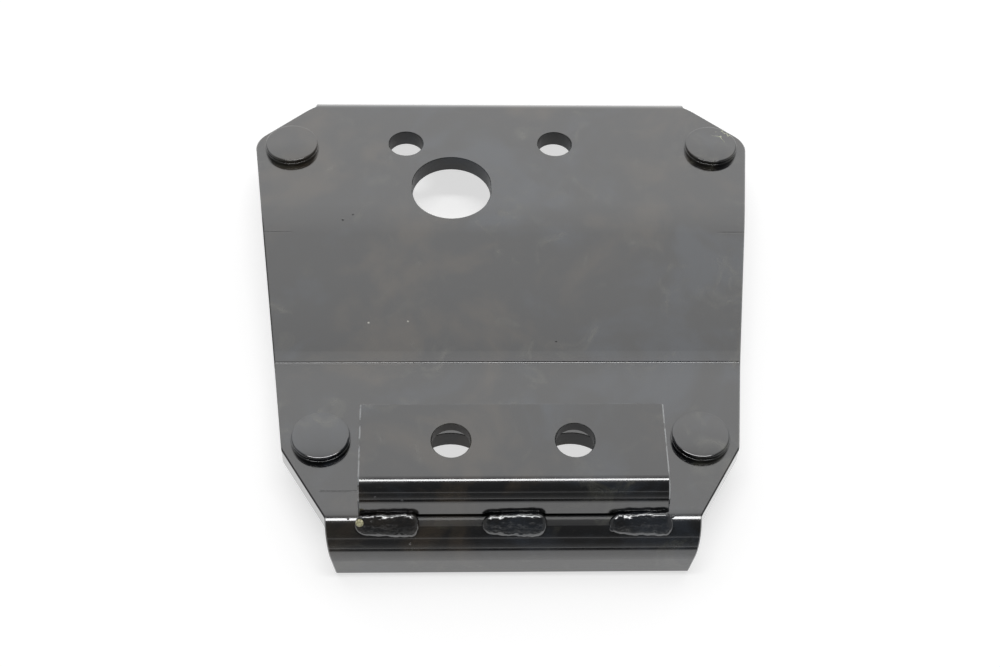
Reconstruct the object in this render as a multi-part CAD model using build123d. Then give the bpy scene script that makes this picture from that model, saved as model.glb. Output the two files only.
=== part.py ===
from build123d import *
from math import cos, hypot, radians, sin, sqrt, tan
import os

# Motor mounting bracket: a thick steel plate with a shallow step across its middle and a flange
# turned down at each end, an angle welded across the low end, and four flat-headed studs.
#
# Millimetres. +Z is up and -Y is the front, the welded end. Y is laid out from the knee line, where
# the ramp meets the low panel, and Z from the top of the low panel. Each piece is moved at the end
# to the part's origin: under the middle of the footprint, level with the front flange's free edge.

# Plate, side view
plate_thickness = 6.35
bend_inside_radius = 5.05
low_panel_depth = 60.3      # knee line to the start of the front bend
ramp_run = 60.0             # knee line to crest line, measured level
step_height = 9.5           # high panel above low panel
high_panel_depth = 56.4     # crest line to the start of the rear bend
knee_radius = 64.0          # on the top surface
crest_radius = 78.0         # on the top surface
flange_height = 18.7        # top of a panel to the free edge of its flange
punch_nose_radius = 1.4     # the tool that pressed the knee left a shallow groove across it
punch_mark_depth = 0.2

# Plate, seen from above
rear_corner_width = 183.9   # between the sharp corners where the sides meet the rear corner cuts
rear_corner_inset = 27.4    # those corners to the rear face
rear_flange_width = 141.2
rear_cut_into_bend = 3.7    # the rear corner cuts run this far past the start of the bend
rear_corner_radius = 9.0
front_corner_width = 150.1  # between the sharp corners where the sides meet the front corner cuts
front_corner_inset = 35.6   # those corners to the front face
front_flange_width = 120.0  # at the bend
front_edge_width = 113.6    # at the free edge: the flange narrows downwards
front_cut_into_bend = 2.2
front_corner_radius = 4.0
edge_break = 0.45           # burrs ground off to this bevel on every outer edge

# Holes in the high panel
bolt_hole_diameter = 12.7
rim_break = 0.2             # bevel on the rims of all punched holes
rear_hole_spacing = 55.6
rear_hole_offset = -8.05    # middle of the pair, from the centre line
rear_hole_inset = 28.8      # hole centres to the rear face
oval_hole_width = 28.7
oval_hole_length = 31.5
oval_hole_offset = -19.0
oval_hole_inset = 52.0      # hole centre to the rear face

# Angle, bent from thinner sheet
angle_thickness = 4.1
angle_inside_radius = 3.2
angle_width = 98.5
angle_depth = 35.1          # foot of the leg's front face to the free edge of the flange
angle_height = 13.4         # free edge of the flange above the low panel
angle_rise = 4.5            # degrees by which the flange climbs rearward
angle_lean = 12.0           # degrees by which the leg leans back: the sheet isn't bent quite square
angle_overhang = 2.4        # foot of the leg's front face beyond the start of the front bend
angle_hole_spacing = 39.7
angle_hole_inset = 14.2     # free edge of the flange to the hole centres
access_hole_diameter = 25.4 # in the plate, for a socket, under each hole of the angle
access_hole_lead = 1.5      # the access holes lie this far forward of the bolts' axes

# Weld beads in the corner between the angle's leg and the front bend
bead_length = 20.8
bead_end_margin = 9.0       # end of the leg to the middle of the nearest bead
bead_leg_height = 2.1       # low panel up to the bead's toe on the leg
bead_reach = 5.7            # foot of the leg to the bead's toe on the bend
bead_crown = 1.5            # swell beyond a flat face drawn from toe to toe
bead_end_bevel = 2.2        # each end falls away over this length

# Studs
stud_head_diameter = 19.7
stud_head_height = 2.7
stud_head_bevel = 0.5
stud_neck_diameter = 10.6   # plain neck through the plate
stud_neck_projection = 0.6  # neck below the plate
stud_hole_clearance = 0.05  # around the neck
stud_thread_diameter = 9.5
stud_end_chamfer = 1.2
stud_projection = 9.5       # whole stud below the plate
rear_stud_margin = 13.85    # centres to the level of the sharp rear corners, on each side
rear_stud_inset = 31.4      # centres to the rear face
front_stud_margin = 12.7    # centres to the level of the sharp front corners, on each side
front_stud_inset = 39.5     # centres to the front face

# Places that follow from the sizes
bend_outside_radius = bend_inside_radius + plate_thickness
front_bend_y = -low_panel_depth
front_face_y = front_bend_y - bend_outside_radius
rear_bend_y = ramp_run + high_panel_depth
rear_face_y = rear_bend_y + bend_outside_radius
leg_face_y = front_bend_y - angle_overhang
angle_edge_y = leg_face_y + angle_depth
angle_slope = tan(radians(angle_rise))
leg_slope = tan(radians(angle_lean))    # rearward for each millimetre of height
angle_corner_z = (angle_height - angle_depth * angle_slope) / (1 - leg_slope * angle_slope)
angle_outside_radius = angle_inside_radius + angle_thickness
angle_hole_y = angle_edge_y - angle_hole_inset * cos(radians(angle_rise))
angle_hole_z = angle_height - angle_hole_inset * sin(radians(angle_rise))
access_hole_y = angle_hole_y + angle_hole_z * angle_slope - access_hole_lead
bead_spacing = angle_width / 2 - bead_end_margin
rear_stud_spacing = rear_corner_width - 2 * rear_stud_margin
front_stud_spacing = front_corner_width - 2 * front_stud_margin
low_top_z = 0.0
high_top_z = step_height
reach = rear_face_y - front_face_y      # longer than anything a cutter has to pass through
flange_root = bend_inside_radius        # each flange is drawn from this far inside its panel
same_direction = 0.99                   # two faces whose normals agree this well run smoothly on

# The part's origin, in the layout above
origin = Vector(0, (front_face_y + rear_face_y) / 2, -flange_height)


def bent_sheet(outer_line, thickness, width):
    """Sheet metal: its outer line in the side view, thickened inwards and drawn out across X."""
    section = make_face(offset(outer_line, thickness, side=Side.RIGHT, closed=True).edges())
    return extrude(Plane.YZ * section, width / 2, both=True)


def pair(spacing, y, middle=0.0):
    """The plan points of two like features either side of a middle."""
    return [(middle - spacing / 2, y), (middle + spacing / 2, y)]


def drill(diameter, x, y):
    """A cutter for a round hole square through a panel."""
    return Pos(x, y, 0) * Cylinder(diameter / 2, reach)


def mirrored_face(half_outline):
    """A flat face from the points down one side, closed with their mirror images."""
    other_side = [Vector(-point.X, point.Y) for point in reversed(half_outline)]
    return make_face(Polyline(*half_outline, *other_side, close=True))


def upright_edges(solid, corner):
    """The vertical edges of a solid at a plan point and at its mirror image across the centre line."""
    return [
        edge for edge in solid.edges().filter_by(Axis.Z)
        if hypot(abs(edge.center().X) - corner.X, edge.center().Y - corner.Y) < edge_break
    ]


def sharp_edges(solid):
    """The edges where two faces meet at an angle, and not where one runs smoothly into the next."""
    faces_at = {}
    for face in solid.faces():
        for edge in face.edges():
            faces_at.setdefault(edge, []).append(face)
    return [
        edge for edge, faces in faces_at.items()
        if len(faces) > 1
        and faces[0].normal_at(edge @ 0.5).dot(faces[1].normal_at(edge @ 0.5)) < same_direction
    ]


def deburred(solid):
    """A solid with every sharp edge bevelled."""
    return chamfer(sharp_edges(solid), edge_break)


def plate_body(folded):
    """The folded plate between its four corner cuts, which run on past the corners of the flanges."""
    front_corner = Vector(front_corner_width / 2, front_face_y + front_corner_inset)
    front_cut = Vector(front_flange_width / 2, front_bend_y - front_cut_into_bend) - front_corner
    rear_corner = Vector(rear_corner_width / 2, rear_face_y - rear_corner_inset)
    rear_cut = Vector(rear_flange_width / 2, rear_bend_y + rear_cut_into_bend) - rear_corner
    outline = [
        front_corner + front_cut * (front_corner_inset / -front_cut.Y),
        front_corner,
        rear_corner,
        rear_corner + rear_cut * (rear_corner_inset / rear_cut.Y),
    ]
    prism = extrude(mirrored_face(outline), reach, both=True)
    prism = fillet(upright_edges(prism, front_corner), front_corner_radius)
    prism = fillet(upright_edges(prism, rear_corner), rear_corner_radius)
    return deburred(folded & prism)


def flange_tab(folded, rear_y, top_width, edge_width):
    """A flange, its bend and a strip of its panel, tapering from one width at the top to another."""
    outline = [
        Vector(top_width - edge_width / 2, flange_height),
        Vector(edge_width / 2, -flange_height),
    ]
    tab = extrude(Plane.XZ.offset(-rear_y) * mirrored_face(outline), bend_outside_radius + flange_root)
    return deburred(folded & tab)


def hole_cutter(outline, thickness):
    """A cutter for a hole down through a sheet whose top lies at Z = 0, with both rims bevelled."""
    through = extrude(outline, reach, both=True)
    rim = extrude(Pos(0, 0, -rim_break) * outline, 2 * rim_break, taper=-45)
    return through + rim + Pos(0, 0, -thickness) * mirror(rim, Plane.XY)


def stud_places():
    """The plan points of the studs: the rear pair, then the front pair."""
    rear = pair(rear_stud_spacing, rear_face_y - rear_stud_inset)
    front = pair(front_stud_spacing, front_face_y + front_stud_inset)
    return rear + front


def punch_mark():
    """A cutter for the groove along the knee."""
    half_turn = ramp_angle() / 2
    knee_z = low_top_z + knee_radius * (1 / cos(half_turn) - 1)
    nose = Pos(0, 0, knee_z + punch_nose_radius - punch_mark_depth) * Rot(0, 90, 0)
    return nose * Cylinder(punch_nose_radius, rear_corner_width)


def ramp_angle():
    """The ramp's slope, in radians."""
    return Vector(ramp_run, step_height).get_angle(Vector(1, 0)) * radians(1)


def main_plate():
    """One folded plate: front flange, low panel, ramp, high panel and rear flange."""
    top_line = FilletPolyline(
        (front_face_y, -flange_height),
        (front_face_y, low_top_z),
        (0, low_top_z),
        (ramp_run, high_top_z),
        (rear_face_y, high_top_z),
        (rear_face_y, high_top_z - flange_height),
        radius=[bend_outside_radius, knee_radius, crest_radius, bend_outside_radius],
    )
    folded = bent_sheet(top_line, plate_thickness, rear_corner_width)
    plate = plate_body(folded)
    plate += flange_tab(folded, front_bend_y + flange_root, front_flange_width, front_edge_width)
    plate += flange_tab(folded, rear_face_y, rear_flange_width, rear_flange_width)

    bolt_hole = hole_cutter(Circle(bolt_hole_diameter / 2), plate_thickness)
    for x, y in pair(rear_hole_spacing, rear_face_y - rear_hole_inset, rear_hole_offset):
        plate -= Pos(x, y, high_top_z) * bolt_hole
    access_hole = hole_cutter(Circle(access_hole_diameter / 2), plate_thickness)
    for x, y in pair(angle_hole_spacing, access_hole_y):
        plate -= Pos(x, y, low_top_z) * access_hole
    oval_hole = hole_cutter(SlotOverall(oval_hole_length, oval_hole_width, rotation=90), plate_thickness)
    plate -= Pos(oval_hole_offset, rear_face_y - oval_hole_inset, high_top_z) * oval_hole
    for x, y in stud_places():
        plate -= drill(stud_neck_diameter + 2 * stud_hole_clearance, x, y)
    return plate - punch_mark()


def angle():
    """The bent angle: a leg that stands on the low panel and a drilled flange that runs rearward."""
    foot_z = (angle_thickness - edge_break) * sin(radians(angle_lean))  # it stands on its rear edge
    outer_line = FilletPolyline(
        (leg_face_y + foot_z * leg_slope, foot_z),
        (leg_face_y + angle_corner_z * leg_slope, angle_corner_z),
        (angle_edge_y, angle_height),
        radius=angle_outside_radius,
    )
    blank = deburred(bent_sheet(outer_line, angle_thickness, angle_width))
    bolt_hole = hole_cutter(Circle(bolt_hole_diameter / 2), angle_thickness)
    for x, y in pair(angle_hole_spacing, angle_hole_y):
        blank -= Pos(x, y, angle_hole_z) * Rot(angle_rise, 0, 0) * bolt_hole
    return blank


def bead(x, plate, bracket):
    """One weld bead: a short round bar with bevelled ends, trimmed to the bend and to the leg."""
    leg_toe = Vector(leg_face_y + bead_leg_height * leg_slope, bead_leg_height)
    bend_toe_y = leg_face_y - bead_reach
    bend_drop = bend_outside_radius - sqrt(bend_outside_radius**2 - (front_bend_y - bend_toe_y)**2)
    bend_toe = Vector(bend_toe_y, low_top_z - bend_drop)
    chord = leg_toe - bend_toe
    section_radius = (chord.length**2 / 4 + bead_crown**2) / (2 * bead_crown)
    outward = Vector(-chord.Y, chord.X).normalized()
    middle = (leg_toe + bend_toe) * 0.5 - outward * (section_radius - bead_crown)

    bar = chamfer(Cylinder(section_radius, bead_length).edges().filter_by(GeomType.CIRCLE), bead_end_bevel)
    bar = Pos(x, middle.X, middle.Y) * Rot(0, 90, 0) * bar
    leg_face = Pos(x, leg_face_y, 0) * Rot(-angle_lean, 0, 0)
    in_front = leg_face * Pos(0, -reach / 2, 0) * Box(reach, reach, reach)
    pieces = (bar & in_front) - plate - bracket
    return pieces.solids().sort_by(Axis.Z)[-1]


def stud():
    """A flat-headed stud, laid out with the underside of its head at Z = 0."""
    head = Pos(0, 0, stud_head_height / 2) * Cylinder(stud_head_diameter / 2, stud_head_height)
    head = chamfer(head.edges().sort_by(Axis.Z)[-1], stud_head_bevel)
    neck_length = plate_thickness + stud_neck_projection
    neck = Pos(0, 0, -neck_length / 2) * Cylinder(stud_neck_diameter / 2, neck_length)
    shank_length = plate_thickness + stud_projection
    shank = Pos(0, 0, -shank_length / 2) * Cylinder(stud_thread_diameter / 2, shank_length)
    shank = chamfer(shank.edges().sort_by(Axis.Z)[0], stud_end_chamfer)
    return head + neck + shank


def write(name, solid):
    export_step(Pos(-origin) * solid, f"parts/{name}.step")


if __name__ == "__main__":
    os.makedirs("parts", exist_ok=True)
    plate = main_plate()
    write("main_plate", plate)
    bracket = angle()
    write("angle_bracket", bracket)
    for place, offset_x in (("left", -bead_spacing), ("middle", 0.0), ("right", bead_spacing)):
        write(f"weld_{place}", bead(offset_x, plate, bracket))
    stud_names = ("stud_rear_left", "stud_rear_right", "stud_front_left", "stud_front_right")
    stud_seats = (high_top_z, high_top_z, low_top_z, low_top_z)
    for name, (x, y), seat_z in zip(stud_names, stud_places(), stud_seats):
        write(name, Pos(x, y, seat_z) * stud())
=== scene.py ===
import math

import bpy
from bpy.props import FloatProperty, FloatVectorProperty, PointerProperty
from bpy.types import Operator, Panel, PropertyGroup
from mathutils import Matrix, Vector


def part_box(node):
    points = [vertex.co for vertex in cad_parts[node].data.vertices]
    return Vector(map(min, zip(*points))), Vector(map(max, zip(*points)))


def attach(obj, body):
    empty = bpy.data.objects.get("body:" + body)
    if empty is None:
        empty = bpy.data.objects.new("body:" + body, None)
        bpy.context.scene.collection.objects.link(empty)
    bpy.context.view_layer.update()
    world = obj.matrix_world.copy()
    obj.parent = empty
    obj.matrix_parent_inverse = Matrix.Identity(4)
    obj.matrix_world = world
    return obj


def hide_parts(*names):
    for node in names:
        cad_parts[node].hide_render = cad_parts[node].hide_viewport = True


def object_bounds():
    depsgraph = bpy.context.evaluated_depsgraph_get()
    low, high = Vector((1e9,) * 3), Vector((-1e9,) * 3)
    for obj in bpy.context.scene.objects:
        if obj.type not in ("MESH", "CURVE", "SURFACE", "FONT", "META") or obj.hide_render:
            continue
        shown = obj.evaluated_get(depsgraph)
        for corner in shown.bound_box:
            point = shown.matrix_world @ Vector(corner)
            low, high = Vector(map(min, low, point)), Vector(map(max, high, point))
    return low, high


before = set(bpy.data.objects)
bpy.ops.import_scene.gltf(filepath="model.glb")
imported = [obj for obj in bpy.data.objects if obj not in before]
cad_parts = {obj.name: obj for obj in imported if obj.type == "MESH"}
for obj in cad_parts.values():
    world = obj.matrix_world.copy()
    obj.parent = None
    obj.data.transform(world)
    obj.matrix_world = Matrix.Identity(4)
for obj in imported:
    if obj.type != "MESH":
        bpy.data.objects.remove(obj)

bl_info = {
    "name": "Motor mounting bracket",
    "version": (1, 0, 0),
    "blender": (4, 5, 0),
    "location": "3D View > Sidebar > Bracket",
    "description": "Finishes a stepped steel motor mounting bracket in gloss black enamel",
    "category": "Object",
}

MM = 0.001
BODY = "root"
CAD_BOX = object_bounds()
STUD_NODES = ("stud_rear_left", "stud_rear_right", "stud_front_left", "stud_front_right")
WELD_NODES = ("weld_left", "weld_middle", "weld_right")
NEAR = 0.01 * MM        # two levels closer than this are the same
PLATE_THICKNESS = 6.35 * MM
FLANGE_ZONE = 6 * MM    # the rear flange's foot lies within this of the rear face
FLOOR_GAP = 0.02 * MM   # keeps the floor just clear of the flanges' edges

# The puddles of a bead, from its start to its end: middle and half length as shares of the bead's
# half length, and swell as a share of its width and crown.
PUDDLES = (
    (-0.16, 0.80, 0.90), (-0.60, 0.38, 0.82), (0.30, 0.62, 0.95), (0.56, 0.42, 0.99),
    (0.72, 0.28, 0.95),
)

# Drops of spatter, in millimetres from the middle of the footprint: x, y, z, radius, and the piece
# that each sticks to.
SPATTER = (
    (32.3, -93.5, 18.9, 0.9, "main_plate"), (31.3, -94.9, 17.9, 1.1, "main_plate"),
    (40.4, -53.5, 30.9, 0.9, "angle_bracket"), (39.0, -53.5, 31.1, 0.6, "angle_bracket"),
    (41.7, -53.5, 31.1, 0.6, "angle_bracket"),
    (-43.7, -90.6, 28.0, 0.30, "angle_bracket"), (-35.3, -90.8, 26.5, 0.35, "angle_bracket"),
    (50.1, -64.4, 18.7, 0.40, "main_plate"), (-58.0, 31.4, 28.0, 0.35, "main_plate"),
    (-54.5, 33.9, 28.1, 0.30, "main_plate"), (16.6, -19.2, 20.1, 0.30, "main_plate"),
    (-32.9, -97.3, 13.7, 0.40, "main_plate"), (50.6, -91.0, 18.6, 0.45, "main_plate"),
    (51.6, -90.4, 18.7, 0.30, "main_plate"), (-52.4, -91.2, 18.5, 0.35, "main_plate"),
)
BARE_DROP = (-48.5, -93.2, 19.0, 1.3, None)     # on the left bead, settled on no CAD face
BEAD_OUTWARD = (0, -0.6, 0.8)       # away from the corner that the beads fill
DROP_SHAPE = (1.15, 1.0, 0.7)       # a drop's width, depth and height as shares of its radius
DROP_RISE = 0.2                     # its middle above the face, as a share of its radius

# Middle of the strip dulled by the welding on the front bend, its half width and its soft margin,
# in millimetres from the middle of the footprint.
DULL_STRIP = (-91.9, 1.3, 0.6)

# Holes, in millimetres: x, y, radius.
PLATE_HOLES = (
    (-35.85, 70.96, 6.35), (19.75, 70.96, 6.35), (-19.0, 47.75, 15.8), (-19.85, -69.2, 12.7),
    (19.85, -69.2, 12.7),
)
ANGLE_HOLES = ((-19.85, -69.8, 6.35), (19.85, -69.8, 6.35))

# Lines left by the ends of the press tools, in millimetres: from x, to x, y.
TOOL_MARKS = ((77.0, 86.4, 25.8), (-85.8, -75.9, 25.8), (-61.7, -50.2, -80.7))

# Scratched spots on stud heads, in millimetres.
SCRATCHES = {"stud_rear_right": (82.8, 73.2, 30.9)}


# ---------------------------------------------------------------- colours, nodes and mesh helpers

def srgb(code):
    """Linear colour for an sRGB hex code such as #1A1B1D."""
    channels = [int(code[i:i + 2], 16) / 255 for i in (1, 3, 5)]
    return [c / 12.92 if c <= 0.04045 else ((c + 0.055) / 1.055) ** 2.4 for c in channels]


def opaque(colour):
    """A colour with full alpha, as shader sockets and colour ramps want it."""
    return (*colour[:3], 1.0)


def add(tree, kind, inputs=(), **settings):
    """Adds a node with its settings. Each input is a value, or the socket that it is linked from."""
    node = tree.nodes.new(kind)
    for name, value in settings.items():
        setattr(node, name, value)
    for name, value in dict(inputs).items():
        if isinstance(value, bpy.types.NodeSocket):
            tree.links.new(value, node.inputs[name])
        else:
            node.inputs[name].default_value = value
    return node


def set_stops(ramp, stops):
    """Gives a colour ramp its stops, as (position, colour) from left to right."""
    elements = ramp.color_ramp.elements
    while len(elements) < len(stops):
        elements.new(1.0)
    for element, (position, colour) in zip(elements, stops):
        element.position = position
        element.color = colour


def new_material(name):
    """An empty node material and its tree."""
    material = bpy.data.materials.new(name)
    material.use_nodes = True
    material.node_tree.nodes.clear()
    return material, material.node_tree


def give(obj, material):
    """Makes a material the only one on an object."""
    obj.data.materials.clear()
    obj.data.materials.append(material)


def deselect():
    """Leaves nothing selected, because an operator acts on all that is."""
    bpy.ops.object.select_all(action="DESELECT")


def activate(*objects):
    """Selects some objects and nothing else, and makes the first of them the active one."""
    deselect()
    for obj in objects:
        obj.select_set(True)
    bpy.context.view_layer.objects.active = objects[0]


def pick_faces(obj, test):
    """Goes into edit mode with just those faces selected whose centre and normal pass the test."""
    bpy.ops.object.mode_set(mode="EDIT")
    bpy.ops.mesh.select_mode(type="FACE")
    bpy.ops.mesh.select_all(action="DESELECT")
    bpy.ops.object.mode_set(mode="OBJECT")
    for face in obj.data.polygons:
        face.select = test(face.center, face.normal)
    bpy.ops.object.mode_set(mode="EDIT")


def pick_edges(obj, test):
    """Goes into edit mode with just those edges selected whose two ends both pass the test."""
    bpy.ops.object.mode_set(mode="EDIT")
    bpy.ops.mesh.select_mode(type="EDGE")
    bpy.ops.mesh.select_all(action="DESELECT")
    bpy.ops.object.mode_set(mode="OBJECT")
    points = obj.data.vertices
    for edge in obj.data.edges:
        edge.select = all(test(points[i].co) for i in edge.vertices)
    bpy.ops.object.mode_set(mode="EDIT")


def apply_all(obj):
    """Applies an object's modifiers in order, and its place, turn and scale."""
    activate(obj)
    for modifier in list(obj.modifiers):
        bpy.ops.object.modifier_apply(modifier=modifier.name)
    bpy.ops.object.transform_apply(location=True, rotation=True, scale=True)


def joined(name, *objects):
    """Joins objects into the first of them, under a new name."""
    activate(*objects)
    bpy.ops.object.join()
    whole = bpy.context.active_object
    whole.name = name
    return whole


def moved_copy(obj, name, place):
    """A copy with a mesh of its own, its mesh moved by a vector."""
    twin = obj.copy()
    twin.data = obj.data.copy()
    twin.name = name
    bpy.context.scene.collection.objects.link(twin)
    twin.location = place
    apply_all(twin)
    return twin


def fit(obj, node=None):
    """Fastens a finished piece to the bracket's body, in the place of a CAD node if one is named."""
    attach(obj, BODY)
    if node:
        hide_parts(node)


# ---------------------------------------------------------------- materials

def ramped(tree, value, low, high, at_low=0.0, at_high=1.0):
    """A value brought from one range to another and held within it."""
    return add(tree, "ShaderNodeMapRange", {
        "Value": value, "From Min": low, "From Max": high, "To Min": at_low, "To Max": at_high,
    }).outputs["Result"]


def reckon(tree, operation, first, second=0.0):
    """One sum on one or two values."""
    return add(tree, "ShaderNodeMath", {0: first, 1: second}, operation=operation).outputs["Value"]


def blended(tree, share, under, over):
    """One colour laid over another by a share."""
    return add(tree, "ShaderNodeMix", {"Factor": share, "A": under, "B": over},
               data_type="RGBA").outputs[2]


def within(tree, value, middle, half_width, soft):
    """1 where a coordinate lies within a strip, falling to 0 over a soft margin."""
    distance = reckon(tree, "ABSOLUTE", reckon(tree, "SUBTRACT", value, middle))
    return ramped(tree, distance, half_width + soft, half_width)


def tool_marks(tree, place):
    """1 on the short lines that the ends of the press tools left near the plate's sides."""
    split = add(tree, "ShaderNodeSeparateXYZ", {"Vector": place})
    total = 0.0
    for low_x, high_x, y in TOOL_MARKS:
        across = within(tree, split.outputs["X"], (low_x + high_x) / 2 * MM,
                        (high_x - low_x) / 2 * MM, 0.8 * MM)
        along = within(tree, split.outputs["Y"], y * MM, 0.12 * MM, 0.25 * MM)
        total = reckon(tree, "MAXIMUM", reckon(tree, "MULTIPLY", across, along), total)
    return total


def scratches(tree, place, centre):
    """1 on a small patch of fine crossing scratches around a point."""
    distance = add(tree, "ShaderNodeVectorMath", {0: place, 1: Vector(centre) * MM},
                   operation="DISTANCE").outputs["Value"]
    patch = ramped(tree, distance, 4.5 * MM, 2.5 * MM)
    lines = add(tree, "ShaderNodeTexWave", {
        "Vector": place, "Scale": 1 / (9 * MM), "Distortion": 14.0, "Detail": 3.0,
        "Detail Scale": 2.0,
    }, bands_direction="DIAGONAL").outputs["Fac"]
    return reckon(tree, "MULTIPLY", patch, ramped(tree, lines, 0.93, 0.98))


def near_welds(tree, place):
    """1 on the strip of the front bend that the welding dulled."""
    split = add(tree, "ShaderNodeSeparateXYZ", {"Vector": place})
    across = within(tree, split.outputs["X"], 0, 48 * MM, 2 * MM)
    along = within(tree, split.outputs["Y"], *[value * MM for value in DULL_STRIP])
    return reckon(tree, "MULTIPLY", across, along)


def in_holes(tree, place, holes):
    """1 on the walls of round holes, where the paint is duller."""
    upright = add(tree, "ShaderNodeSeparateXYZ", {
        "Vector": add(tree, "ShaderNodeNewGeometry").outputs["True Normal"],
    }).outputs["Z"]
    wall = ramped(tree, reckon(tree, "ABSOLUTE", upright), 0.5, 0.4)
    flat = add(tree, "ShaderNodeVectorMath", {0: place, 1: (1, 1, 0)}, operation="MULTIPLY")
    inside = 0.0
    for x, y, radius in holes:
        distance = add(tree, "ShaderNodeVectorMath", {
            0: flat.outputs["Vector"], 1: (x * MM, y * MM, 0),
        }, operation="DISTANCE").outputs["Value"]
        inside = reckon(tree, "MAXIMUM", inside,
                        ramped(tree, distance, (radius + 1.2) * MM, (radius + 0.6) * MM))
    return reckon(tree, "MULTIPLY", wall, inside)


def painted_edge_highlight(tree, place, edges):
    """1 along straight edges where a pale highlight is painted, broken up by noise: each an axis, its
    place and its half width.
    """
    split = add(tree, "ShaderNodeSeparateXYZ", {"Vector": place})
    highlight_breaks = add(tree, "ShaderNodeTexNoise", {"Vector": place, "Scale": 1 / (4 * MM), "Detail": 4.0})
    held = ramped(tree, highlight_breaks.outputs["Fac"], 0.40, 0.50)
    total = 0.0
    for axis, middle, half in edges:
        total = reckon(tree, "MAXIMUM", total,
                       within(tree, split.outputs[axis], middle, half, 0.15 * MM))
    return reckon(tree, "MULTIPLY", total, held)


# Roughness of the enamel where it is clean and where it is smeared.
GLOSS_RANGE = (0.10, 0.24)
# How rough the paint is on a hole's wall and on the dulled strip, and how much of its skin is lost.
HOLE_ROUGHNESS, HOLE_SKIN_LOSS = 0.65, 0.9
DULL_ROUGHNESS, DULL_SKIN_LOSS = 0.6, 0.85


def enamel(name, settings, fleck_mm=8.0, ripple_mm=None, pressed=False, scratched_at=None,
           holes=(), edges=()):
    """Gloss black enamel, sprayed over hot-rolled steel.

    A near-black body lies under a clear wet-looking skin. Its colour drifts at random into soft warm
    and cool clouds, smears dull the skin in places, dust sits in it as pale specks, and the skin has a
    faint orange peel. On a weld it follows the fine ripples of the bead.
    """
    material, tree = new_material(name)
    place = add(tree, "ShaderNodeTexCoord").outputs["Object"]

    clouds = add(tree, "ShaderNodeTexNoise", {
        "Vector": place, "Scale": 1 / settings.cloud_size, "Detail": 5.0, "Roughness": 0.62,
        "Distortion": 0.4,
    }).outputs["Fac"]
    tint = add(tree, "ShaderNodeValToRGB", {"Fac": clouds})
    set_stops(tint, [
        (0.36, opaque(settings.brown)),
        (0.48, opaque(settings.black)),
        (0.54, opaque(settings.black)),
        (0.66, opaque(settings.blue)),
    ])
    body = tint.outputs["Color"]
    stains = add(tree, "ShaderNodeTexNoise", {
        "Vector": place, "Scale": 1 / settings.smear_size, "Detail": 7.0, "Roughness": 0.7,
        "Distortion": 1.2,
    }).outputs["Fac"]
    body = blended(tree, ramped(tree, stains, 0.56, 0.72, 0, 0.8), body, opaque(settings.stain))

    specks = add(tree, "ShaderNodeTexVoronoi", {"Vector": place, "Scale": 1 / (fleck_mm * MM)})
    is_speck = ramped(tree, specks.outputs["Distance"], 0.045, 0.02)
    is_rare = ramped(tree, specks.outputs["Color"], 0.80, 0.82)
    body = blended(tree, reckon(tree, "MULTIPLY", is_speck, is_rare), body, opaque(settings.dust))
    if scratched_at:
        body = blended(tree, scratches(tree, place, scratched_at), body, opaque(settings.scratch))

    smears = add(tree, "ShaderNodeTexNoise", {
        "Vector": place, "Scale": 1 / settings.smear_size, "Detail": 5.0, "Roughness": 0.6,
        "Distortion": 0.8,
    }).outputs["Fac"]
    gloss = ramped(tree, smears, 0.35, 0.7, *GLOSS_RANGE)

    peel = add(tree, "ShaderNodeTexNoise", {
        "Vector": place, "Scale": 1 / settings.peel_size, "Detail": 2.0,
    }).outputs["Fac"]
    relief = add(tree, "ShaderNodeBump", {"Height": peel, "Strength": 0.12, "Distance": 0.02 * MM})
    skin = 1.0
    if holes:
        bare = in_holes(tree, place, holes)
        gloss = reckon(tree, "MAXIMUM", gloss, reckon(tree, "MULTIPLY", bare, HOLE_ROUGHNESS))
        skin = reckon(tree, "SUBTRACT", 1.0, reckon(tree, "MULTIPLY", bare, HOLE_SKIN_LOSS))
    # Painted highlight: a pale colour along the given edges stands in for the light that their rounding
    # catches.
    if edges:
        body = blended(tree, painted_edge_highlight(tree, place, edges), body, opaque(settings.edge_highlight))
    if ripple_mm:
        ripples = add(tree, "ShaderNodeTexNoise", {
            "Vector": place, "Scale": 1 / (ripple_mm * MM), "Detail": 3.0, "Roughness": 0.7,
        }).outputs["Fac"]
        relief = add(tree, "ShaderNodeBump", {
            "Height": ripples, "Strength": 0.5, "Distance": 0.12 * MM,
            "Normal": relief.outputs["Normal"],
        })
    if pressed:
        dull = near_welds(tree, place)
        gloss = reckon(tree, "MAXIMUM", gloss, reckon(tree, "MULTIPLY", dull, DULL_ROUGHNESS))
        skin = reckon(tree, "SUBTRACT", skin, reckon(tree, "MULTIPLY", dull, DULL_SKIN_LOSS))
        # The press tool's marks are bumped in as shallow grooves, and the darker colour laid on them is
        # painted shade in those grooves.
        marks = tool_marks(tree, place)
        body = blended(tree, marks, body, opaque(settings.groove_shade))
        relief = add(tree, "ShaderNodeBump", {
            "Height": marks, "Strength": 0.8, "Distance": 0.15 * MM,
            "Normal": relief.outputs["Normal"],
        }, invert=True)

    shader = add(tree, "ShaderNodeBsdfPrincipled", {
        "Base Color": body,
        "Roughness": gloss,
        "Normal": relief.outputs["Normal"],
        "IOR": 1.6,
        "Coat Weight": skin,
        "Coat Roughness": 0.05,
        "Coat IOR": 1.62,
    })
    add(tree, "ShaderNodeOutputMaterial", {"Surface": shader.outputs["BSDF"]})
    return material


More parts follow.
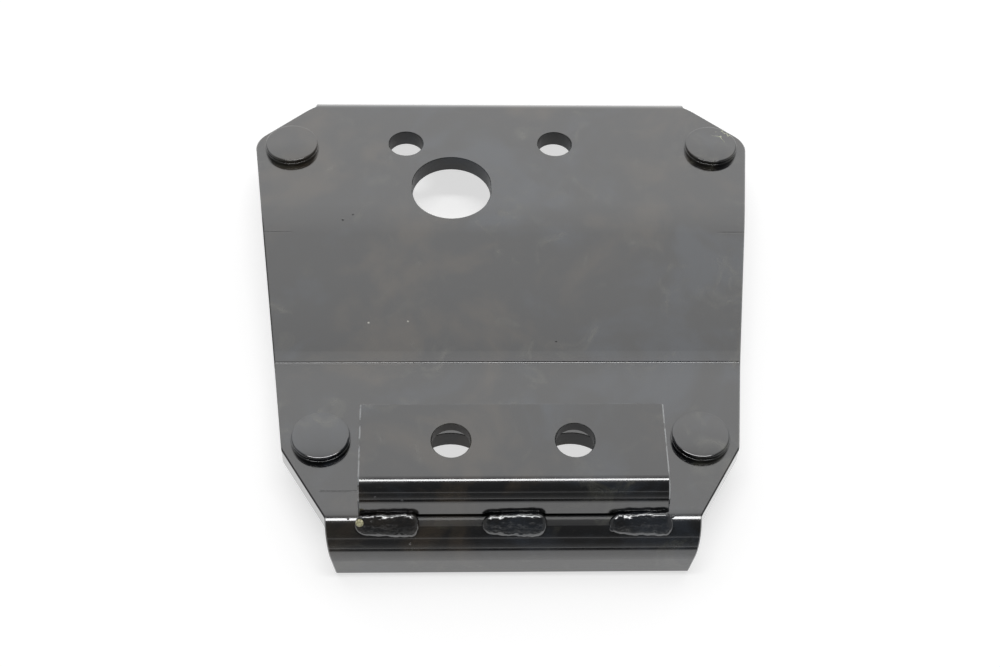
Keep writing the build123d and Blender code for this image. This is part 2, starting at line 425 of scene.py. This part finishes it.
def bare_slag():
    """The one drop that the paint didn't hold on: pale, slightly glassy slag."""
    material, tree = new_material("pale_glassy_slag")
    place = add(tree, "ShaderNodeTexCoord").outputs["Object"]
    grain = add(tree, "ShaderNodeTexNoise", {"Vector": place, "Scale": 1 / (0.5 * MM), "Detail": 4.0})
    tint = add(tree, "ShaderNodeValToRGB", {"Fac": grain.outputs["Fac"]})
    set_stops(tint, [(0.40, opaque(srgb("#8F8A63"))), (0.58, opaque(srgb("#DEDAB4")))])
    relief = add(tree, "ShaderNodeBump", {
        "Height": grain.outputs["Fac"], "Strength": 0.6, "Distance": 0.15 * MM,
    })
    shader = add(tree, "ShaderNodeBsdfPrincipled", {
        "Base Color": tint.outputs["Color"], "Roughness": 0.35, "Normal": relief.outputs["Normal"],
    })
    add(tree, "ShaderNodeOutputMaterial", {"Surface": shader.outputs["BSDF"]})
    return material


# ---------------------------------------------------------------- settings

class EnamelSettings(PropertyGroup):
    """The paint that covers the whole bracket."""

    black: FloatVectorProperty(
        name="Enamel", description="Body colour of the black enamel",
        default=srgb("#131416"), size=3, min=0, max=1, subtype="COLOR",
    )
    brown: FloatVectorProperty(
        name="Warm cloud", description="Warm body colour of the random clouds",
        default=srgb("#383128"), size=3, min=0, max=1, subtype="COLOR",
    )
    blue: FloatVectorProperty(
        name="Cool cloud", description="Cool body colour of the random clouds",
        default=srgb("#2A3038"), size=3, min=0, max=1, subtype="COLOR",
    )
    dust: FloatVectorProperty(
        name="Dust", description="Colour of the specks caught in the film",
        default=srgb("#B9B7AE"), size=3, min=0, max=1, subtype="COLOR",
    )
    stain: FloatVectorProperty(
        name="Stain", description="Colour of the dusty stains",
        default=srgb("#4C4C44"), size=3, min=0, max=1, subtype="COLOR",
    )
    # Painted shade: the dark line inside a press tool's mark.
    groove_shade: FloatVectorProperty(
        name="Tool mark shade", description="Colour of the shade painted in the press tool's marks",
        default=srgb("#0B0B0C"), size=3, min=0, max=1, subtype="COLOR",
    )
    # Colour of the highlight painted along the angle's edges.
    edge_highlight: FloatVectorProperty(
        name="Painted edge highlight", description="Colour of the highlight painted along an edge",
        default=srgb("#8E9092"), size=3, min=0, max=1, subtype="COLOR",
    )
    scratch: FloatVectorProperty(
        name="Scratch", description="Colour of the fine scratches on a stud's head",
        default=srgb("#A8AC8C"), size=3, min=0, max=1, subtype="COLOR",
    )
    cloud_size: FloatProperty(
        name="Cloud size", description="Width of the soft clouds in the colour",
        default=38 * MM, min=1 * MM, max=1, subtype="DISTANCE", unit="LENGTH",
    )
    smear_size: FloatProperty(
        name="Smear size", description="Width of the patches of duller gloss",
        default=16 * MM, min=1 * MM, max=1, subtype="DISTANCE", unit="LENGTH",
    )
    peel_size: FloatProperty(
        name="Orange peel", description="Width of the ripples that spraying leaves in the film",
        default=2.2 * MM, min=0.1 * MM, max=0.1, subtype="DISTANCE", unit="LENGTH",
    )


class WeldSettings(PropertyGroup):
    """The three beads between the angle and the front bend."""

    crown: FloatProperty(
        name="Crown", description="Height of a bead over the flat between its toes",
        default=1.9 * MM, min=0.5 * MM, max=5 * MM, subtype="DISTANCE", unit="LENGTH",
    )
    skin_cell: FloatProperty(
        name="Skin cell", description="Size of the cells from which a bead's skin is drawn",
        default=0.24 * MM, min=0.1 * MM, max=1 * MM, subtype="DISTANCE", unit="LENGTH",
    )
    lump_size: FloatProperty(
        name="Lump size", description="Width of the lumps in a bead",
        default=3.0 * MM, min=0.5 * MM, max=10 * MM, subtype="DISTANCE", unit="LENGTH",
    )
    lump_height: FloatProperty(
        name="Lump height", description="Height of the lumps in a bead",
        default=0.5 * MM, min=0, max=2 * MM, subtype="DISTANCE", unit="LENGTH",
    )
    ripple_size: FloatProperty(
        name="Ripple size", description="Width of the fine ripples on a bead",
        default=0.9 * MM, min=0.1 * MM, max=5 * MM, subtype="DISTANCE", unit="LENGTH",
    )


class StudSettings(PropertyGroup):
    """The four flat-headed studs."""

    rim_radius: FloatProperty(
        name="Rim radius", description="Rounding of a head's upper rim",
        default=0.4 * MM, min=0.1 * MM, max=2 * MM, subtype="DISTANCE", unit="LENGTH",
    )
    shoulder_width: FloatProperty(
        name="Shoulder width", description="Width of the gentle slope inside a head's rim",
        default=0.75 * MM, min=0.1 * MM, max=2 * MM, subtype="DISTANCE", unit="LENGTH",
    )
    shoulder_drop: FloatProperty(
        name="Shoulder drop", description="Fall of the slope inside a head's rim",
        default=0.22 * MM, min=0.02 * MM, max=1 * MM, subtype="DISTANCE", unit="LENGTH",
    )
    ledge_height: FloatProperty(
        name="Ledge height", description="Height of the fine ledge around a head's wall",
        default=1.3 * MM, min=0.2 * MM, max=2 * MM, subtype="DISTANCE", unit="LENGTH",
    )
    ledge_width: FloatProperty(
        name="Ledge width", description="Width of the fine ledge around a head's wall",
        default=0.22 * MM, min=0.02 * MM, max=1 * MM, subtype="DISTANCE", unit="LENGTH",
    )
    neck_diameter: FloatProperty(
        name="Neck diameter", description="Plain neck that fills the hole in the plate",
        default=10.6 * MM, min=5 * MM, max=20 * MM, subtype="DISTANCE", unit="LENGTH",
    )
    neck_length: FloatProperty(
        name="Neck length", description="From under the head to the start of the thread",
        default=6.95 * MM, min=1 * MM, max=20 * MM, subtype="DISTANCE", unit="LENGTH",
    )
    thread_diameter: FloatProperty(
        name="Thread diameter", description="Over the crests of the thread",
        default=9.5 * MM, min=3 * MM, max=20 * MM, subtype="DISTANCE", unit="LENGTH",
    )
    pitch: FloatProperty(
        name="Pitch", description="From one crest of the thread to the next",
        default=1.5875 * MM, min=0.5 * MM, max=4 * MM, subtype="DISTANCE", unit="LENGTH",
    )
    lead_length: FloatProperty(
        name="Lead length", description="Plain end below the thread",
        default=1.5 * MM, min=0.3 * MM, max=5 * MM, subtype="DISTANCE", unit="LENGTH",
    )
    lead_bevel: FloatProperty(
        name="Lead bevel", description="Bevel on the end",
        default=1.0 * MM, min=0.1 * MM, max=3 * MM, subtype="DISTANCE", unit="LENGTH",
    )


class StageSettings(PropertyGroup):
    """The floor, the light and the camera."""

    floor: FloatVectorProperty(
        name="Floor", description="Colour of the floor",
        default=srgb("#F4F4F4"), size=3, min=0, max=1, subtype="COLOR",
    )
    floor_size: FloatProperty(
        name="Floor size", description="Side of the square floor",
        default=6.0, min=0.5, max=20, subtype="DISTANCE", unit="LENGTH",
    )
    lens: FloatProperty(
        name="Lens", description="Focal length on a 36 mm wide frame, in millimetres",
        default=60.94, min=10, max=300, unit="CAMERA",
    )
    camera_pitch: FloatProperty(
        name="Camera pitch", description="How far the camera looks down from level",
        default=math.radians(49.396), min=0, max=math.radians(90), subtype="ANGLE", unit="ROTATION",
    )
    camera_turn: FloatProperty(
        name="Camera turn", description="How far the camera looks to the right of straight back",
        default=math.radians(3.197), min=-math.pi, max=math.pi, subtype="ANGLE", unit="ROTATION",
    )
    camera_roll: FloatProperty(
        name="Camera roll", description="How far the camera leans over",
        default=math.radians(2.374), min=-math.pi, max=math.pi, subtype="ANGLE", unit="ROTATION",
    )
    camera_distance: FloatProperty(
        name="Camera distance", description="From the camera to the point it looks at",
        default=577.0 * MM, min=0.05, max=10, subtype="DISTANCE", unit="LENGTH",
    )
    aim: FloatVectorProperty(
        name="Aim", description="The point the camera looks at, from the middle of the footprint",
        default=(-2.86 * MM, -20.15 * MM, 25.33 * MM), size=3, subtype="TRANSLATION", unit="LENGTH",
    )


# ---------------------------------------------------------------- operators

class BRACKET_OT_paint_plate(Operator):
    """Give the folded plate and the angle their enamel"""

    bl_idname = "bracket.paint_plate"
    bl_label = "Paint plate and angle"

    def execute(self, context):
        settings = context.scene.bracket_enamel
        give(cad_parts["main_plate"],
             enamel("gloss_enamel_on_plate", settings, fleck_mm=11, pressed=True,
                    holes=PLATE_HOLES))
        low, high = (Vector(corner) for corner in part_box("angle_bracket"))
        # The angle's rear edge and its two ends carry a painted highlight.
        give(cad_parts["angle_bracket"],
             enamel("gloss_enamel_on_angle", settings, fleck_mm=8, holes=ANGLE_HOLES, edges=(
                 ("Y", high.y, 0.5 * MM), ("X", low.x, 0.4 * MM), ("X", high.x, 0.4 * MM),
             )))
        for node in STUD_NODES + WELD_NODES:
            give(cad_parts[node], enamel(f"gloss_enamel_under_{node}", settings))
        return {"FINISHED"}


def puddle(middle, lean, half_length, half_width, half_thickness):
    """One frozen puddle of a weld: a flattened ball, leaning across the corner that it fills."""
    deselect()
    bpy.ops.mesh.primitive_uv_sphere_add(segments=48, ring_count=24, radius=1.0, location=middle,
                                         rotation=(lean, 0, 0))
    ball = bpy.context.active_object
    ball.scale = (half_length, half_width, half_thickness)
    bpy.ops.object.transform_apply(location=True, rotation=True, scale=True)
    return ball


class BRACKET_OT_lay_welds(Operator):
    """Lay the three weld beads, each a row of frozen puddles that overlap towards its end"""

    bl_idname = "bracket.lay_welds"
    bl_label = "Lay weld beads"

    def execute(self, context):
        settings = context.scene.bracket_weld
        for node in WELD_NODES:
            low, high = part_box(node)
            middle = (low + high) / 2
            half_length = (high.x - low.x) / 2
            lean = math.atan2(high.z - low.z, high.y - low.y)
            half_width = math.hypot(high.z - low.z, high.y - low.y) / 2
            puddles = []
            for place, reach, swell in PUDDLES:
                centre = middle + Vector((place * half_length, 0, 0))
                puddles.append(puddle(centre, lean, reach * half_length, half_width * swell,
                                      settings.crown * swell))
            bead = joined(f"{node}_bead", *puddles)
            remesh = bead.modifiers.new("one_skin", "REMESH")
            remesh.mode = "VOXEL"
            remesh.voxel_size = settings.skin_cell
            smooth = bead.modifiers.new("molten", "SMOOTH")
            smooth.factor = 0.5
            smooth.iterations = 2
            uneven = bpy.data.textures.new(f"{node}_uneven", "CLOUDS")
            uneven.noise_scale = settings.lump_size
            displace = bead.modifiers.new("uneven", "DISPLACE")
            displace.texture = uneven
            displace.texture_coords = "GLOBAL"
            displace.strength = settings.lump_height
            displace.mid_level = 0.5
            apply_all(bead)
            bpy.ops.object.shade_smooth()
            give(bead, enamel(f"gloss_enamel_on_{node}", context.scene.bracket_enamel,
                              ripple_mm=settings.ripple_size / MM))
            fit(bead, node)
        return {"FINISHED"}


class BRACKET_OT_scatter_spatter(Operator):
    """Stick the drops that the welding threw onto the plate and the angle"""

    bl_idname = "bracket.scatter_spatter"
    bl_label = "Scatter spatter"

    def execute(self, context):
        drops = [self.drop(*entry) for entry in SPATTER]
        spatter = joined("weld_spatter", *drops)
        bpy.ops.object.shade_smooth()
        give(spatter, enamel("gloss_enamel_on_spatter", context.scene.bracket_enamel, ripple_mm=1.0))
        fit(spatter)
        bare = self.drop(*BARE_DROP)
        bare.name = "bare_spatter"
        bpy.ops.object.shade_smooth()
        give(bare, bare_slag())
        fit(bare)
        return {"FINISHED"}

    def drop(self, x, y, z, radius, host):
        """One drop, flattened against the nearest face of the piece that it sticks to."""
        wanted = Vector((x, y, z)) * MM
        place, normal = wanted, Vector(BEAD_OUTWARD)
        if host:
            found, place, normal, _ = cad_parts[host].closest_point_on_mesh(wanted)
            if not found:
                raise RuntimeError(f"no face of {host} near {tuple(wanted)}")
        deselect()
        bpy.ops.mesh.primitive_ico_sphere_add(subdivisions=3, radius=radius * MM)
        ball = bpy.context.active_object
        bpy.ops.object.mode_set(mode="EDIT")
        bpy.ops.mesh.select_all(action="SELECT")
        bpy.ops.transform.resize(value=DROP_SHAPE, center_override=(0, 0, 0))
        bpy.ops.object.mode_set(mode="OBJECT")
        ball.rotation_mode = "QUATERNION"
        ball.rotation_quaternion = normal.to_track_quat("Z", "Y")
        ball.location = place + normal * radius * MM * DROP_RISE
        apply_all(ball)
        return ball


NECK_BEVEL = 0.3 * MM       # on the neck's lower rim
THREAD_DEPTH = 0.56         # of the core below the crests, as a share of the pitch
CORE_LIFT = 0.2 * MM        # keeps the core's end inside the lead
LEAD_CLEARANCE = 0.1 * MM   # of the lead below the crests
RIDGE_START = 0.6           # where the ridge starts in the lead, as a share of its length
RIDGE_RUN_OUT = 0.5 * MM    # how far the ridge runs up into the neck
LEDGE_BEVEL = 0.7           # bevel on the ledge, as a share of its width
SMOOTH_BELOW = math.radians(35)     # sharper edges on a stud stay crisp


def round_bar(radius, low_z, high_z, bevel=0.0):
    """An upright round bar between two levels, its lower rim bevelled if asked."""
    deselect()
    bpy.ops.mesh.primitive_cylinder_add(vertices=96, radius=radius, depth=high_z - low_z,
                                        location=(0, 0, (low_z + high_z) / 2))
    bar = bpy.context.active_object
    bpy.ops.object.transform_apply(location=True, rotation=True, scale=True)
    if bevel:
        pick_edges(bar, lambda point: abs(point.z - low_z) < NEAR)
        bpy.ops.mesh.bevel(offset=bevel, segments=3, affect="EDGES")
        bpy.ops.object.mode_set(mode="OBJECT")
    return bar


def stud_head(settings, radius, height):
    """The flat head: a disc with a fine ledge around its wall and a rounded upper rim."""
    head = round_bar(radius, 0, settings.ledge_height)
    pick_faces(head, lambda centre, normal: normal.z > 0.9)
    bpy.ops.mesh.inset(thickness=settings.ledge_width)
    shoulder_z = height - settings.shoulder_drop
    bpy.ops.mesh.extrude_region_move(
        TRANSFORM_OT_translate={"value": (0, 0, shoulder_z - settings.ledge_height)})
    bpy.ops.mesh.inset(thickness=settings.shoulder_width, depth=settings.shoulder_drop)
    bpy.ops.object.mode_set(mode="OBJECT")
    pick_edges(head, lambda point: abs(point.z - shoulder_z) < NEAR)
    bpy.ops.mesh.bevel(offset=settings.rim_radius, segments=4, affect="EDGES")
    bpy.ops.object.mode_set(mode="OBJECT")
    pick_edges(head, lambda point: abs(point.z - settings.ledge_height) < NEAR
               and point.xy.length > radius - settings.ledge_width / 2)
    bpy.ops.mesh.bevel(offset=settings.ledge_width * LEDGE_BEVEL, segments=3, affect="EDGES")
    bpy.ops.object.mode_set(mode="OBJECT")
    return head


def thread_ridge(settings, radius, low_z, high_z):
    """A helical ridge of triangular section, its crest at the radius."""
    tooth = settings.pitch / math.sqrt(3)
    deselect()
    bpy.ops.mesh.primitive_circle_add(vertices=3, radius=tooth, location=(radius - tooth, 0, low_z),
                                      rotation=(math.pi / 2, math.pi / 2, 0))
    ridge = bpy.context.active_object
    bpy.ops.object.transform_apply(location=True, rotation=True, scale=True)
    screw = ridge.modifiers.new("turns", "SCREW")
    screw.steps = 48
    screw.render_steps = 48
    screw.screw_offset = settings.pitch
    screw.iterations = round((high_z - low_z) / settings.pitch)
    screw.use_normal_calculate = True
    apply_all(ridge)
    return ridge


class BRACKET_OT_turn_studs(Operator):
    """Turn one flat-headed stud with its neck and thread, and set a copy at each corner"""

    bl_idname = "bracket.turn_studs"
    bl_label = "Turn studs"

    def execute(self, context):
        settings = context.scene.bracket_stud
        low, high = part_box(STUD_NODES[0])
        radius = (high.x - low.x) / 2
        seat_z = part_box("main_plate")[1].z
        height = high.z - seat_z
        foot_z = low.z - seat_z
        head = stud_head(settings, radius, height)
        neck = round_bar(settings.neck_diameter / 2, -settings.neck_length, settings.ledge_height / 2,
                         bevel=NECK_BEVEL)
        core = round_bar(settings.thread_diameter / 2 - settings.pitch * THREAD_DEPTH, foot_z + CORE_LIFT,
                         settings.ledge_height / 2)
        lead = round_bar(settings.thread_diameter / 2 - LEAD_CLEARANCE, foot_z,
                         foot_z + settings.lead_length, bevel=settings.lead_bevel)
        ridge = thread_ridge(settings, settings.thread_diameter / 2,
                             foot_z + settings.lead_length * RIDGE_START,
                             -settings.neck_length + RIDGE_RUN_OUT)
        pattern = joined("stud_pattern", head, neck, core, lead, ridge)
        bpy.ops.object.shade_smooth_by_angle(angle=SMOOTH_BELOW)
        for node in STUD_NODES:
            low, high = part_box(node)
            place = Vector(((low.x + high.x) / 2, (low.y + high.y) / 2, high.z - height))
            stud = moved_copy(pattern, f"{node}_turned", place)
            give(stud, enamel(f"gloss_enamel_on_{node}", context.scene.bracket_enamel,
                              scratched_at=SCRATCHES.get(node)))
            fit(stud, node)
        bpy.data.objects.remove(pattern)
        return {"FINISHED"}


def support_plane():
    """The plane that both flanges stand on: its tilt about X and a point on it."""
    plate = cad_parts["main_plate"].data
    low, high = (Vector(corner) for corner in CAD_BOX)
    rear_foot = min(v.co.z for v in plate.vertices if v.co.y > high.y - FLANGE_ZONE)
    front_edge = low.y + PLATE_THICKNESS
    tilt = math.atan2(rear_foot - low.z, high.y - front_edge)
    return tilt, Vector((0, front_edge, low.z - FLOOR_GAP))


class BRACKET_OT_stage(Operator):
    """Lay the floor, light the bracket and set the camera"""

    bl_idname = "bracket.stage"
    bl_label = "Stage"

    def execute(self, context):
        settings = context.scene.bracket_stage
        tilt, point = support_plane()
        deselect()
        bpy.ops.mesh.primitive_plane_add(size=settings.floor_size, location=point, rotation=(tilt, 0, 0))
        floor = context.active_object
        floor.name = "floor"
        bpy.ops.object.transform_apply(location=True, rotation=True, scale=True)
        give(floor, floor_finish(settings))
        light_world(context.scene)
        overhead_lamp(context)
        set_camera(context, settings)
        return {"FINISHED"}


PAPER_GLOW = 1.6            # strength of the glow that whitens the lit paper for the camera
PAPER_GLOW_SHARE = 0.4      # share of that glow against the lit paper, which keeps the shadow
PAPER_END = (-0.19, -0.15)  # Y, in metres, where gloss sees the paper fully dim, and still white
PAPER_GLOSS = (0.05, 1.0)   # what gloss sees of it at those two places


def floor_finish(settings):
    """Matt white paper with a soft shadow. Gloss sees it white near the bracket, and dim in front."""
    material, tree = new_material("matt_white_paper")
    path = add(tree, "ShaderNodeLightPath")
    seen = add(tree, "ShaderNodeMath", {
        0: path.outputs["Is Camera Ray"], 1: path.outputs["Is Glossy Ray"],
    }, operation="MAXIMUM")
    seen = add(tree, "ShaderNodeMath", {
        0: seen.outputs["Value"], 1: path.outputs["Is Transmission Ray"],
    }, operation="MAXIMUM")
    share = reckon(tree, "MAXIMUM", reckon(tree, "MULTIPLY", seen.outputs["Value"], PAPER_GLOW_SHARE),
                   path.outputs["Is Glossy Ray"])
    paper = add(tree, "ShaderNodeBsdfDiffuse", {"Color": opaque(settings.floor)})
    place = add(tree, "ShaderNodeTexCoord").outputs["Object"]
    depth = add(tree, "ShaderNodeSeparateXYZ", {"Vector": place}).outputs["Y"]
    gloss_level = ramped(tree, depth, *PAPER_END, *PAPER_GLOSS)
    level = add(tree, "ShaderNodeMix", {
        "Factor": path.outputs["Is Glossy Ray"], "A": PAPER_GLOW, "B": gloss_level,
    }, data_type="FLOAT").outputs[0]
    glow = add(tree, "ShaderNodeEmission", {"Color": (1, 1, 1, 1), "Strength": level})
    mixed = add(tree, "ShaderNodeMixShader", {
        "Fac": share, 1: paper.outputs["BSDF"], 2: glow.outputs["Emission"],
    })
    add(tree, "ShaderNodeOutputMaterial", {"Surface": mixed.outputs["Shader"]})
    return material


# Brightness of the room by angle, from the horizon behind the bracket, up over the top and down to
# the horizon in front of it: (degrees, brightness).
ROOM = (
    (0, 0.75), (25, 1.1), (42, 1.43), (55, 1.42), (61, 1.38), (66, 1.3), (71, 1.0), (77, 0.4),
    (100, 0.10), (135, 0.08), (146, 0.10), (148, 0.8), (150, 0.10), (165, 0.12), (180, 0.3),
)
ROOM_PEAK = 2.0
SIDES = (0.75, 0.5)     # the soft box ends between these shares of straight sideways
SIDE_LEVEL = 0.25       # brightness of the studio's sides
LAMP_HEIGHT = 1.2       # of the overhead lamp above the floor, in metres
LAMP_SIZE = (0.9, 0.16)     # its width and depth, in metres
LAMP_POWER = 4.5        # watts


def light_world(scene):
    """A big soft box behind and above the bracket in a dim studio, and white behind the floor."""
    world = bpy.data.worlds.new("studio")
    scene.world = world
    world.use_nodes = True
    tree = world.node_tree
    tree.nodes.clear()
    direction = add(tree, "ShaderNodeTexCoord").outputs["Generated"]
    split = add(tree, "ShaderNodeSeparateXYZ", {"Vector": direction})
    angle = add(tree, "ShaderNodeMath", {0: split.outputs["Z"], 1: split.outputs["Y"]},
                operation="ARCTAN2")
    share = reckon(tree, "DIVIDE", angle.outputs["Value"], math.pi)
    ramp = add(tree, "ShaderNodeValToRGB", {"Fac": share})
    set_stops(ramp, [(degrees / 180, (*[level / ROOM_PEAK] * 3, 1)) for degrees, level in ROOM])
    sideways = reckon(tree, "ABSOLUTE", split.outputs["X"])
    inside = ramped(tree, sideways, *SIDES)
    shade = blended(tree, inside, opaque([SIDE_LEVEL / ROOM_PEAK] * 3), ramp.outputs["Color"])
    room = add(tree, "ShaderNodeBackground", {"Color": shade, "Strength": ROOM_PEAK})
    white = add(tree, "ShaderNodeBackground", {"Color": (1, 1, 1, 1), "Strength": 1.0})
    path = add(tree, "ShaderNodeLightPath")
    seen = add(tree, "ShaderNodeMixShader", {
        "Fac": path.outputs["Is Camera Ray"], 1: room.outputs["Background"],
        2: white.outputs["Background"],
    })
    add(tree, "ShaderNodeOutputWorld", {"Surface": seen.outputs["Shader"]})


def overhead_lamp(context):
    """The narrow bright lamp overhead, which draws the lines along the starts of the bends."""
    deselect()
    bpy.ops.object.light_add(type="AREA", location=(0, 0, LAMP_HEIGHT))
    lamp = context.active_object
    lamp.name = "overhead_lamp"
    lamp.data.shape = "RECTANGLE"
    lamp.data.size, lamp.data.size_y = LAMP_SIZE
    lamp.data.energy = LAMP_POWER


def set_camera(context, settings):
    """A camera at the settings' distance from its aim, pitched down, turned and rolled."""
    pitch, turn, roll = settings.camera_pitch, settings.camera_turn, settings.camera_roll
    forward = Vector((
        math.sin(turn) * math.cos(pitch), math.cos(turn) * math.cos(pitch), -math.sin(pitch)
    ))
    right = Vector((math.cos(turn), -math.sin(turn), 0))
    up = right.cross(forward)
    leaned_right = right * math.cos(roll) + up * math.sin(roll)
    leaned_up = up * math.cos(roll) - right * math.sin(roll)
    deselect()
    bpy.ops.object.camera_add()
    camera = context.active_object
    camera.name = "camera"
    camera.data.lens = settings.lens
    turned = Matrix((leaned_right, leaned_up, -forward)).transposed().to_4x4()
    place = Vector(settings.aim) - forward * settings.camera_distance
    camera.matrix_world = Matrix.Translation(place) @ turned
    context.scene.camera = camera


class BRACKET_PT_sidebar(Panel):
    """Lists the steps and the settings"""

    bl_label = "Motor mounting bracket"
    bl_space_type = "VIEW_3D"
    bl_region_type = "UI"
    bl_category = "Bracket"

    def draw(self, context):
        layout = self.layout
        for operator in OPERATORS:
            layout.operator(operator.bl_idname)
        for name in SETTINGS:
            settings = getattr(context.scene, name)
            box = layout.box()
            for value in settings.__annotations__:
                box.prop(settings, value)


OPERATORS = (
    BRACKET_OT_paint_plate, BRACKET_OT_lay_welds, BRACKET_OT_scatter_spatter, BRACKET_OT_turn_studs,
    BRACKET_OT_stage,
)
SETTINGS = {
    "bracket_enamel": EnamelSettings, "bracket_weld": WeldSettings, "bracket_stud": StudSettings,
    "bracket_stage": StageSettings,
}
CLASSES = (*SETTINGS.values(), *OPERATORS, BRACKET_PT_sidebar)


def register():
    """Adds the bracket's steps, settings and panel to Blender."""
    for cls in CLASSES:
        bpy.utils.register_class(cls)
    for name, group in SETTINGS.items():
        setattr(bpy.types.Scene, name, PointerProperty(type=group))


def unregister():
    """Takes them out again, in the opposite order."""
    for name in SETTINGS:
        delattr(bpy.types.Scene, name)
    for cls in reversed(CLASSES):
        bpy.utils.unregister_class(cls)


def main():
    """Finishes and stages the bracket."""
    register()
    bpy.ops.bracket.paint_plate()
    bpy.ops.bracket.lay_welds()
    bpy.ops.bracket.scatter_spatter()
    bpy.ops.bracket.turn_studs()
    bpy.ops.bracket.stage()
    bpy.context.scene.view_settings.view_transform = "Standard"


if __name__ == "__main__":
    main()
